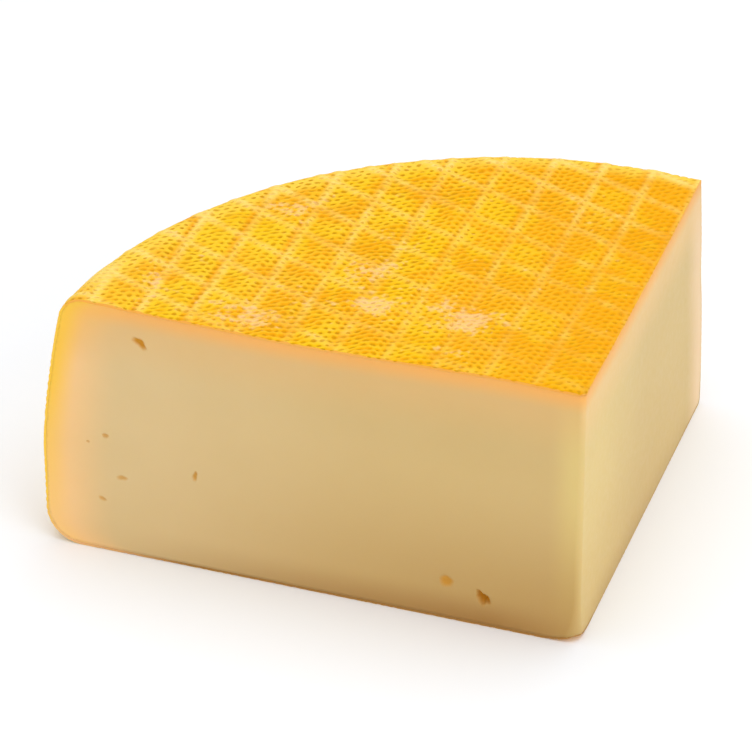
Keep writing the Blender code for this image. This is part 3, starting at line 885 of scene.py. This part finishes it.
# The mat's print in relief, as Geometry Nodes that move a piece's skin in and out
mat_print = bpy.data.node_groups.new("mat_print", "GeometryNodeTree")
mat_print.interface.new_socket("Geometry", in_out="OUTPUT", socket_type="NodeSocketGeometry")
mat_print.interface.new_socket("Geometry", in_out="INPUT", socket_type="NodeSocketGeometry")
PRINT_INPUTS = {
    name: mat_print.interface.new_socket(name, in_out="INPUT", socket_type=kind).identifier
    for name, kind in (
        ("Dimple Depth", "NodeSocketFloat"),
        ("Rib Height", "NodeSocketFloat"),
        ("Material", "NodeSocketMaterial"),
    )
}
given = add(mat_print, "NodeGroupInput", {})
weave, side_weave, ribs, tone, outward = (
    add(mat_print, "GeometryNodeInputNamedAttribute", {"Name": name}, data_type="FLOAT_VECTOR")[0]
    for name in ("weave", "side_weave", "ribs", "tone", "outward")
)
joined = add(mat_print, "ShaderNodeSeparateXYZ", {0: tone})[2]
dimple = printed(mat_print, weave, side_weave, joined, DIMPLE_EDGE)
sunk = add(mat_print, "ShaderNodeMath", {0: dimple, 1: given["Dimple Depth"]}, operation="MULTIPLY")[0]
spot = add(mat_print, "GeometryNodeInputPosition", {})[0]
rib = ribbed(mat_print, ribs, spot, (RIB_HALF_WIDTH, RIB_HALF_WIDTH))
raised = add(mat_print, "ShaderNodeMath", {0: rib, 1: given["Rib Height"]}, operation="MULTIPLY")[0]
moved = add(mat_print, "ShaderNodeMath", {0: raised, 1: sunk}, operation="SUBTRACT")[0]
offset = add(mat_print, "ShaderNodeVectorMath", {0: outward, "Scale": moved}, operation="SCALE")[0]
pressed = add(mat_print, "GeometryNodeSetPosition", {"Geometry": given["Geometry"], "Offset": offset})
solid = add(mat_print, "GeometryNodeRealizeInstances", {"Geometry": pressed[0]})
finished = add(mat_print, "GeometryNodeSetMaterial", {"Geometry": solid[0], "Material": given["Material"]})
add(mat_print, "NodeGroupOutput", {0: finished[0]})

# Washed rind: a thin, slightly tacky skin with a low satin gloss. Its dimples are painted darker, as painted
# shade in their hollows, painted shadow lies beside the first family of ribs, and it is paler towards the
# rim, partly a thinner wash and partly a painted sheen. Its ribs and the places that were rubbed are paler.
RIND_GOLD = paint("#F0BF00")
RIND_AMBER = paint("#EEA400")
RIND_RIB_SHADOW = paint("#EE9A00")
RIND_DIMPLE_SHADE = paint("#CC8E00")
RIND_THREAD = paint("#F5C930")
RIND_PALE_SHEEN = paint("#F6CE4C")
RIND_RIB = paint("#F8D674")
RIND_WORN = paint("#F4C78E")
CUT_TOP = paint("#F9B04C")
CUT_YELLOW = paint("#FCCB4A")
CUT_PEACH = paint("#F6D2A2")
CUT_FOOT_SHADE = paint("#A97B42")
CUT_FOOT_RIM = paint("#F4BC80")
CUT_FOOT_SHORT_SHADE = paint("#CFB07A")

rind_material, tree = blank_material("washed_orange_rind")
place = add(tree, "ShaderNodeTexCoord", {})["Object"]
weave, side_weave, ribs, tone = (
    add(tree, "ShaderNodeAttribute", {}, attribute_name=name)["Vector"]
    for name in ("weave", "side_weave", "ribs", "tone")
)
worn, pale_sheen, joined = add(tree, "ShaderNodeSeparateXYZ", {0: tone})
depth = add(tree, "ShaderNodeAttribute", {}, attribute_name="depth")["Fac"]

# Tones of 24 mm and 6 mm, specks of 1.9 mm and grain of 0.8 mm
RIND_NOISE = (
    {"Scale": 1 / 0.024, "Detail": 3.0},
    {"Scale": 1 / 0.0060, "Detail": 4.0, "Roughness": 0.65},
    {"Scale": 1 / 0.0019, "Detail": 2.0},
    {"Scale": 1 / 0.0008, "Detail": 3.0},
)
broad, patchy, speckled, fine = (
    add(tree, "ShaderNodeTexNoise", {"Vector": place, **size})[0] for size in RIND_NOISE
)

# Amber with patches of gold, and paler in places, partly a thinner wash and partly a painted sheen
along, across, up = add(tree, "ShaderNodeSeparateXYZ", {0: place})
to_right = add(tree, "ShaderNodeMapRange", {0: along, 1: 0.005, 2: 0.060, 3: 0.0, 4: -0.7})[0]
gold = add(tree, "ShaderNodeMath", {0: patchy, 1: 0.6, 2: broad}, operation="MULTIPLY_ADD")[0]
gold = add(tree, "ShaderNodeMapRange", {0: gold, 1: 0.68, 2: 0.88})[0]
gold = add(tree, "ShaderNodeMath", {0: gold, 1: to_right}, operation="ADD", use_clamp=True)[0]
rind_colour = add(tree, "ShaderNodeMix", {0: gold, 6: RIND_AMBER, 7: RIND_GOLD}, data_type="RGBA")[2]
thin_wash_and_sheen = add(tree, "ShaderNodeMath", {0: patchy, 1: 0.9, 2: -0.45}, operation="MULTIPLY_ADD")[0]
thin_wash_and_sheen = add(tree, "ShaderNodeMath", {0: thin_wash_and_sheen, 1: pale_sheen}, operation="ADD", use_clamp=True)[0]

# Painted shadow lies beside the first family of ribs, on their side away from the light, and the smear is
# rubbed off the ribs' tops
BESIDE_RIBS = (0.12, 0.0, 0.0)
RIB_SHADOW_HALF_WIDTH = 0.0018
RIB_TONE_HALF_WIDTHS = (0.0019, 0.0021)
rib_shadow_strength = add(tree, "ShaderNodeMapRange", {0: broad, 1: 0.40, 2: 0.60, 3: 0.25, 4: 0.85})[0]
beside = add(tree, "ShaderNodeVectorMath", {0: ribs, 1: BESIDE_RIBS}, operation="ADD")[0]
rib_shadow = ribbed(tree, beside, place, (RIB_SHADOW_HALF_WIDTH,))
rib_shadow = add(tree, "ShaderNodeMath", {0: rib_shadow, 1: rib_shadow_strength}, operation="MULTIPLY")[0]
rib_line = ribbed(tree, ribs, place, RIB_TONE_HALF_WIDTHS)
rib_strength = add(tree, "ShaderNodeMapRange", {0: patchy, 1: 0.38, 2: 0.62, 3: 0.12, 4: 0.56})[0]
rib_strength = add(tree, "ShaderNodeMath", {0: pale_sheen, 1: rib_strength}, operation="ADD", use_clamp=True)[0]
rib_line = add(tree, "ShaderNodeMath", {0: rib_line, 1: rib_strength}, operation="MULTIPLY")[0]

# Rubbed places break up into flecks
rubbed = add(tree, "ShaderNodeMath", {0: speckled, 1: 0.7, 2: patchy}, operation="MULTIPLY_ADD")[0]
rubbed = add(tree, "ShaderNodeMath", {0: rubbed, 1: 3.0, 2: -2.80}, operation="MULTIPLY_ADD")[0]
rubbed = add(tree, "ShaderNodeMath", {0: worn, 1: 1.3, 2: rubbed}, operation="MULTIPLY_ADD")[0]
rubbed_off = {0: rubbed, 1: 0.25, 2: 0.95, 3: 0.0, 4: 0.80}
rubbed = add(tree, "ShaderNodeMapRange", rubbed_off, interpolation_type="SMOOTHSTEP")[0]

# Paler threads run between the dimples, whose dark dots, painted shade in their hollows, vary in size and
# fade on ribs and rubbed places
threads = printed(tree, weave, side_weave, joined, THREAD_EDGE)
threads = add(tree, "ShaderNodeMapRange", {0: threads, 1: 0.0, 2: 0.35, 3: 0.55, 4: 0.0})[0]
threads = add(tree, "ShaderNodeMath", {0: threads, 1: to_right, 2: threads}, operation="MULTIPLY_ADD")[0]
dot_edge = add(tree, "ShaderNodeMapRange", {0: speckled, 1: 0.32, 2: 0.68, 3: -0.8, 4: -2.6})[0]
shaded_dots = printed(tree, weave, side_weave, joined, dot_edge)
dot_strength = add(tree, "ShaderNodeMapRange", {0: patchy, 1: 0.36, 2: 0.58, 3: 0.55, 4: 1.0})[0]
off_ribs = add(tree, "ShaderNodeMapRange", {0: rib_line, 3: 1.0, 4: 0.4})[0]
off_worn = add(tree, "ShaderNodeMapRange", {0: rubbed, 3: 1.0, 4: 0.45})[0]
right_dots = {0: to_right, 1: 0.4, 2: dot_strength}
dot_strength = add(tree, "ShaderNodeMath", right_dots, operation="MULTIPLY_ADD")[0]
for share in (dot_strength, off_ribs, off_worn):
    shaded_dots = add(tree, "ShaderNodeMath", {0: shaded_dots, 1: share}, operation="MULTIPLY")[0]

# The cut edge of the rind, peach towards the shorter cut. Near the foot it carries painted shade like the
# paste's: brown at the foot of the longer cut and less dark on the shorter one, and peach towards the rim,
# where it is the rind's own colour
to_short = add(tree, "ShaderNodeMapRange", {0: along, 1: -0.02, 2: 0.04})[0]
cut_colour = add(tree, "ShaderNodeMix", {0: to_short, 6: CUT_YELLOW, 7: CUT_PEACH}, data_type="RGBA")[2]
from_rim_foot = add(tree, "ShaderNodeMapRange", {0: along, 1: -0.062, 2: -0.030})[0]
on_short = add(tree, "ShaderNodeMapRange", {0: across, 1: -0.056, 2: -0.040})[0]
foot_colour_and_shade = CUT_FOOT_RIM
for amount, over in ((from_rim_foot, CUT_FOOT_SHADE), (on_short, CUT_FOOT_SHORT_SHADE)):
    layer = {0: amount, 6: foot_colour_and_shade, 7: over}
    foot_colour_and_shade = add(tree, "ShaderNodeMix", layer, data_type="RGBA")[2]
near_foot = add(tree, "ShaderNodeMapRange", {0: up, 1: 0.001, 2: 0.012, 3: 1.0, 4: 0.0})[0]
near_top = add(tree, "ShaderNodeMapRange", {0: up, 1: 0.066, 2: 0.0685})[0]
for amount, over in ((near_foot, foot_colour_and_shade), (near_top, CUT_TOP)):
    layer = {0: amount, 6: cut_colour, 7: over}
    cut_colour = add(tree, "ShaderNodeMix", layer, data_type="RGBA")[2]
on_cut = add(tree, "ShaderNodeMapRange", {0: depth, 1: 0.01, 2: 0.10})[0]

# Each tone over the last
RIND_LAYERS = (
    (thin_wash_and_sheen, RIND_PALE_SHEEN),
    (rib_shadow, RIND_RIB_SHADOW),
    (rib_line, RIND_RIB),
    (rubbed, RIND_WORN),
    (threads, RIND_THREAD),
    (shaded_dots, RIND_DIMPLE_SHADE),
    (on_cut, cut_colour),
)
for amount, over in RIND_LAYERS:
    layer = {0: amount, 6: rind_colour, 7: over}
    rind_colour = add(tree, "ShaderNodeMix", layer, data_type="RGBA")[2]

rind_relief = add(tree, "ShaderNodeMath", {0: fine, 1: 0.5}, operation="MULTIPLY")[0]
rind_relief = add(tree, "ShaderNodeMath", {0: shaded_dots, 1: -0.9, 2: rind_relief}, operation="MULTIPLY_ADD")[0]
rind_bump = add(tree, "ShaderNodeBump", {"Strength": 0.6, "Distance": 0.00025, "Height": rind_relief})[0]
rind_rough = add(tree, "ShaderNodeMapRange", {0: patchy, 1: 0.3, 2: 0.7, 3: 0.48, 4: 0.62})[0]
rind_shader = add(
    tree,
    "ShaderNodeBsdfPrincipled",
    {
        "Base Color": rind_colour,
        "Roughness": rind_rough,
        "IOR": 1.42,
        "Specular IOR Level": 0.08,
        "Subsurface Weight": 0.10,
        "Subsurface Radius": (1.0, 0.45, 0.12),
        "Subsurface Scale": 0.0003,
        "Normal": rind_bump,
    },
)
add(tree, "ShaderNodeOutputMaterial", {"Surface": rind_shader[0]})


def pressed_by_mat(piece, dimple_depth, rib_height):
    """The piece with the mat's print in its skin, as a plain mesh."""
    modifier = piece.modifiers.new("mat_print", "NODES")
    modifier.node_group = mat_print
    modifier[PRINT_INPUTS["Dimple Depth"]] = dimple_depth
    modifier[PRINT_INPUTS["Rib Height"]] = rib_height
    modifier[PRINT_INPUTS["Material"]] = rind_material
    bpy.context.view_layer.update()
    mesh = bpy.data.meshes.new_from_object(piece.evaluated_get(bpy.context.evaluated_depsgraph_get()))
    piece.modifiers.remove(modifier)
    piece.data = mesh
    mesh.name = piece.name
    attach(piece, "root")
    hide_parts("cheese")


pressed_by_mat(rind_top, DIMPLE_DEPTH, RIB_HEIGHT)


# The rind of the rim
#
# The same washed skin round the wheel's side, where the mould's smooth wall pressed it. It is more even in
# colour than the top's, and only a faint print runs round it.
RIM_STEP = 0.00045

rim_ring = strip_ring(rim_shares, shoulder_ring["end"], rim_sizes(rim_shares)["length"], RIM_STEP)
rim_out = rim_rind(strip_patch(rim_ring, RIM_STEP, 0.0), False)
rim_under = rim_rind(turned(strip_patch(rim_ring, HIDDEN_STEP, RIND_DEPTH)), True)
rind_rim = made_piece(
    "rind_rim",
    [rim_out, rim_under, skin_wall(rim_out, rim_under, 0, len(rim_ring["share"]), False)],
    RIND_VALUES,
)
pressed_by_mat(rind_rim, DIMPLE_DEPTH, RIB_HEIGHT)


# The rind of the base
#
# The same skin on the side that the wheel lay on last. The mat's print is in it too, but shallow and without
# ribs, because the wheel's own weight pressed it flat, and it fades towards the base's edge.
BASE_STEP = 0.00050
BASE_DIMPLE_DEPTH = 0.00014
BASE_PRINT_FADE = 0.005

base_ring = plan_ring(foot_edge, 0.0, BASE_STEP)
DOWN = (0.0, 0.0, -1.0)


def fading_print(from_rim):
    return smooth(0.0, BASE_PRINT_FADE, from_rim)


base_out = plan_patch(base_ring, foot_edge, BASE_STEP, on_foot(0.0), False)
base_out = flat_rind(base_out, foot_edge, DOWN, fading_print, 0.0, False)
base_under = turned(plan_patch(base_ring, foot_edge, HIDDEN_STEP, on_foot(RIND_DEPTH), False))
base_under = flat_rind(base_under, foot_edge, DOWN, fading_print, 0.0, True)
rind_base = made_piece(
    "rind_base",
    [base_out, base_under, skin_wall(base_out, base_under, 0, len(base_ring["plan"]), False)],
    RIND_VALUES,
)
pressed_by_mat(rind_base, BASE_DIMPLE_DEPTH, 0.0)


# The table, the light and the camera
#
# A wide matt white table that fades into a white surround, large soft lights above and beside the cheese, and
# a camera with a long lens, placed in multiples of the wheel's radius from the wedge's tip.
TABLE_SIZE = 8.0
TABLE_BELOW = 0.0001
TABLE_WHITE = paint("#F7FAFF")

table_material, tree = blank_material("matt_white_table")
table_noise = add(tree, "ShaderNodeTexNoise", {"Scale": 30.0, "Detail": 2.0})[0]
table_rough = add(tree, "ShaderNodeMapRange", {0: table_noise, 3: 0.75, 4: 0.85})[0]
table_shader = add(tree, "ShaderNodeBsdfPrincipled", {"Base Color": TABLE_WHITE, "Roughness": table_rough})
add(tree, "ShaderNodeOutputMaterial", {"Surface": table_shader[0]})
bpy.ops.mesh.primitive_plane_add(size=TABLE_SIZE, location=(0.0, 0.0, -TABLE_BELOW))
table = bpy.context.object
table.name = "table"
table.data.materials.append(table_material)

CAMERA_TURN = math.radians(19.753)
CAMERA_RISE = math.radians(31.451)
CAMERA_LENS = 215.5
CAMERA_AWAY = 8.98
CAMERA_ASIDE = -0.4038
CAMERA_UP = 0.5368
backward = Vector(
    (
        math.sin(CAMERA_TURN) * math.cos(CAMERA_RISE),
        -math.cos(CAMERA_TURN) * math.cos(CAMERA_RISE),
        math.sin(CAMERA_RISE),
    )
)
rightward = Vector((math.cos(CAMERA_TURN), math.sin(CAMERA_TURN), 0.0))
upward = backward.cross(rightward)
camera = bpy.data.objects.new("camera", bpy.data.cameras.new("camera"))
to_camera = CAMERA_AWAY * backward + CAMERA_ASIDE * rightward + CAMERA_UP * upward
camera.location = Vector(TIP) + WHEEL_RADIUS * to_camera
camera.rotation_euler = backward.to_track_quat("Z", "Y").to_euler()
camera.data.lens = CAMERA_LENS
camera.data.clip_end = 20.0
bpy.context.scene.collection.objects.link(camera)
bpy.context.scene.camera = camera

SURROUND_STRENGTH = 0.62
world = bpy.data.worlds.new("surround")
world.use_nodes = True
background = world.node_tree.nodes["Background"]
background.inputs["Color"].default_value = (1.0, 1.0, 1.0, 1.0)
background.inputs["Strength"].default_value = SURROUND_STRENGTH
bpy.context.scene.world = world
bpy.context.scene.view_settings.view_transform = "Standard"

LAMPS = (
    {"name": "overhead", "place": (0.1, 0.1, 1.3), "size": 1.4, "power": 9.0},
    {"name": "right", "place": (1.1, -0.8, 0.9), "size": 0.9, "power": 5.5},
    {"name": "left", "place": (-0.55, -0.35, 0.25), "size": 0.4, "power": 0.45},
)
for lamp in LAMPS:
    light = bpy.data.objects.new(lamp["name"], bpy.data.lights.new(lamp["name"], "AREA"))
    light.data.size = lamp["size"]
    light.data.energy = lamp["power"]
    light.location = lamp["place"]
    light.rotation_euler = Vector(lamp["place"]).to_track_quat("Z", "Y").to_euler()
    bpy.context.scene.collection.objects.link(light)
